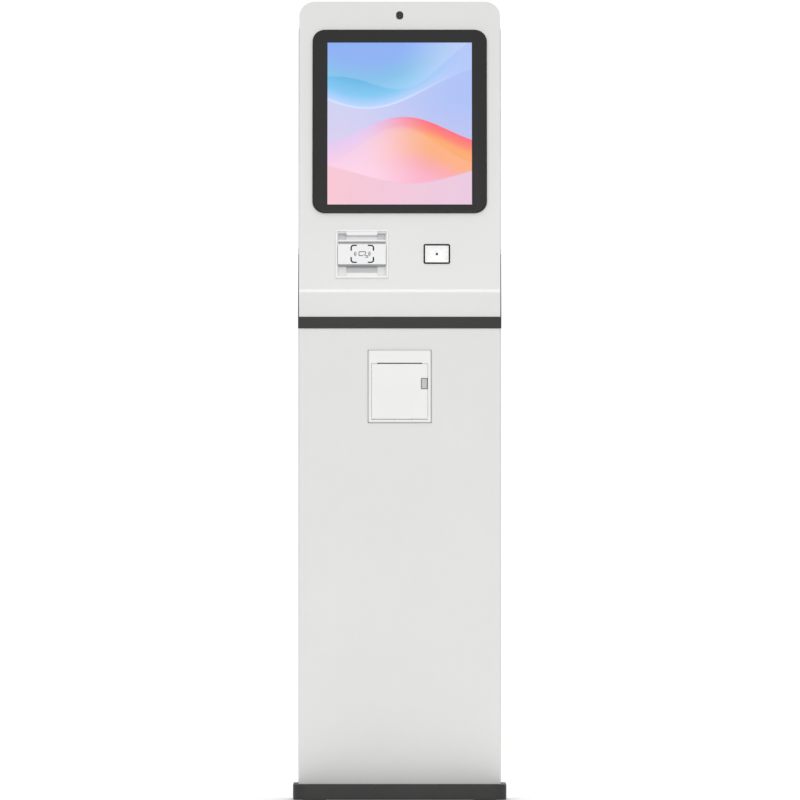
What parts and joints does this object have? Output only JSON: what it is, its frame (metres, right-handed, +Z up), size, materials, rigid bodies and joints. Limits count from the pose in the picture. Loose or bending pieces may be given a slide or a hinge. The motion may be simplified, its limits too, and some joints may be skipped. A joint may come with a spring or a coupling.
{
  "type": "self-service payment kiosk",
  "caption": "Free-standing self-service payment kiosk: steel column on a plinth, tilted touch display head, contactless reader, code scanner, receipt printer and hinged rear door.",
  "frame": {"origin": "middle of the footprint on the floor", "axes": "+Z up, +Y towards the rear door, -Y towards the customer, +X to the customer's right"},
  "size_m": [0.4, 0.4, 1.5],
  "materials": {
    "bezel_black": "fine moulded texture",
    "breaker_grey": "moulded",
    "bright_chrome": "polished",
    "cable_black": "PVC sheath",
    "casing_paint": "fine satin powder coat",
    "circuit_board": "solder mask",
    "computer_aluminium": "bead blasted",
    "core_card": "rolled card",
    "dark_paint": "fine satin powder coat",
    "foot_rubber": "matte",
    "gear_white": "moulded acetal",
    "latch_grey": "fine moulded texture",
    "lens_black": "polished",
    "module_black": "moulded",
    "motor_steel": "plated can",
    "printer_white": "fine moulded texture",
    "reader_white": "fine moulded texture",
    "receipt_paper": "uncoated",
    "roller_rubber": "ground rubber",
    "screen": "lit picture",
    "touch_glass": "clear, polished",
    "zinc_steel": "zinc plated"
  },
  "bodies": {
    "cabinet": {"accent_band": "dark_paint", "base_bolts": "zinc_steel", "base_plate": "dark_paint", "cable_grommet": "foot_rubber", "camera_module": "circuit_board", "camera_window": "lens_black", "circuit_breaker": "breaker_grey", "column_foot_frame": "zinc_steel", "column_shell": "casing_paint", "computer": "computer_aluminium", "din_rail": "zinc_steel", "display_bezel": "bezel_black", "display_board": "circuit_board", "display_brackets": "zinc_steel", "display_chassis": "zinc_steel", "display_panel": "screen", "door_hinge_pins": "zinc_steel", "equipment_shelf": "zinc_steel", "fan_frame": "module_black", "fan_guard": "zinc_steel", "feed_motor": "motor_steel", "foot_studs": "zinc_steel", "head_rear_cover": "casing_paint", "head_shell": "casing_paint", "lower_rear_panel": "casing_paint", "mains_inlet": "module_black", "mains_leads": "cable_black", "neck_bolts": "zinc_steel", "neck_plates": "zinc_steel", "power_supply": "computer_aluminium", "printer_bezel": "printer_white", "printer_case": "module_black", "printer_hinge_pin": "zinc_steel", "reader_housing": "reader_white", "reader_pad": "reader_white", "rubber_feet": "foot_rubber", "scanner_engine": "module_black", "scanner_frame": "bezel_black", "scanner_hood": "reader_white", "signal_cables": "cable_black", "tear_bar": "zinc_steel", "thermal_head": "module_black", "touch_glass": "touch_glass", "upper_door_rail": "casing_paint", "upper_rear_panel": "casing_paint"},
    "rear_door": {"rear_door": "casing_paint", "door_hinge_blocks": "zinc_steel", "lock_housing": "bright_chrome"},
    "door_lock": {"lock_plug": "bright_chrome", "lock_cam": "zinc_steel"},
    "printer_lid": {"printer_door": "printer_white"},
    "latch_button": {"printer_latch": "latch_grey"},
    "platen": {"platen_roller": "roller_rubber", "platen_shaft": "zinc_steel", "platen_gear": "gear_white"},
    "pinion": {"motor_pinion": "gear_white"},
    "roll": {"paper_roll": "receipt_paper", "paper_core": "core_card"},
    "fan": {"fan_rotor": "module_black"},
    "switch": {"power_switch": "module_black"}
  },
  "joints": [
    {"name": "rear_door_swing", "type": "hinge", "parent": "cabinet", "child": "rear_door", "pos_m": [0.184, 0.128, 0.475], "axis": [0, 0, -1], "range_deg": [0, 110]},
    {"name": "door_lock_turn", "type": "hinge", "parent": "rear_door", "child": "door_lock", "pos_m": [-0.16, 0.125, 0.475], "axis": [0, 1, 0], "range_deg": [0, 90]},
    {"name": "printer_door_swing", "type": "hinge", "parent": "cabinet", "child": "printer_lid", "pos_m": [0, -0.14, 0.7169], "axis": [1, 0, 0], "range_deg": [0, 80]},
    {"name": "printer_latch_press", "type": "slide", "parent": "printer_lid", "child": "latch_button", "axis": [0, 1, 0], "range_m": [0, 0.002], "stiffness_N_per_m": 200},
    {"name": "platen_spin", "type": "hinge", "parent": "printer_lid", "child": "platen", "pos_m": [0, -0.126, 0.807], "axis": [1, 0, 0], "continuous": true},
    {"name": "feed_pinion_spin", "type": "hinge", "parent": "cabinet", "child": "pinion", "pos_m": [0, -0.1132, 0.807], "axis": [1, 0, 0], "continuous": true},
    {"name": "paper_roll_spin", "type": "hinge", "parent": "cabinet", "child": "roll", "pos_m": [0, -0.0952, 0.748], "axis": [1, 0, 0], "continuous": true},
    {"name": "fan_spin", "type": "hinge", "parent": "cabinet", "child": "fan", "pos_m": [0, 0.125, 0.925], "axis": [0, 1, 0], "continuous": true},
    {"name": "power_switch_rock", "type": "hinge", "parent": "cabinet", "child": "switch", "pos_m": [-0.0915, 0.133, 0.068], "axis": [1, 0, 0], "range_deg": [0, 14]}
  ],
  "couplings": [
    {"joint": "feed_pinion_spin", "follows": "platen_spin", "ratio": -1.6667}
  ]
}
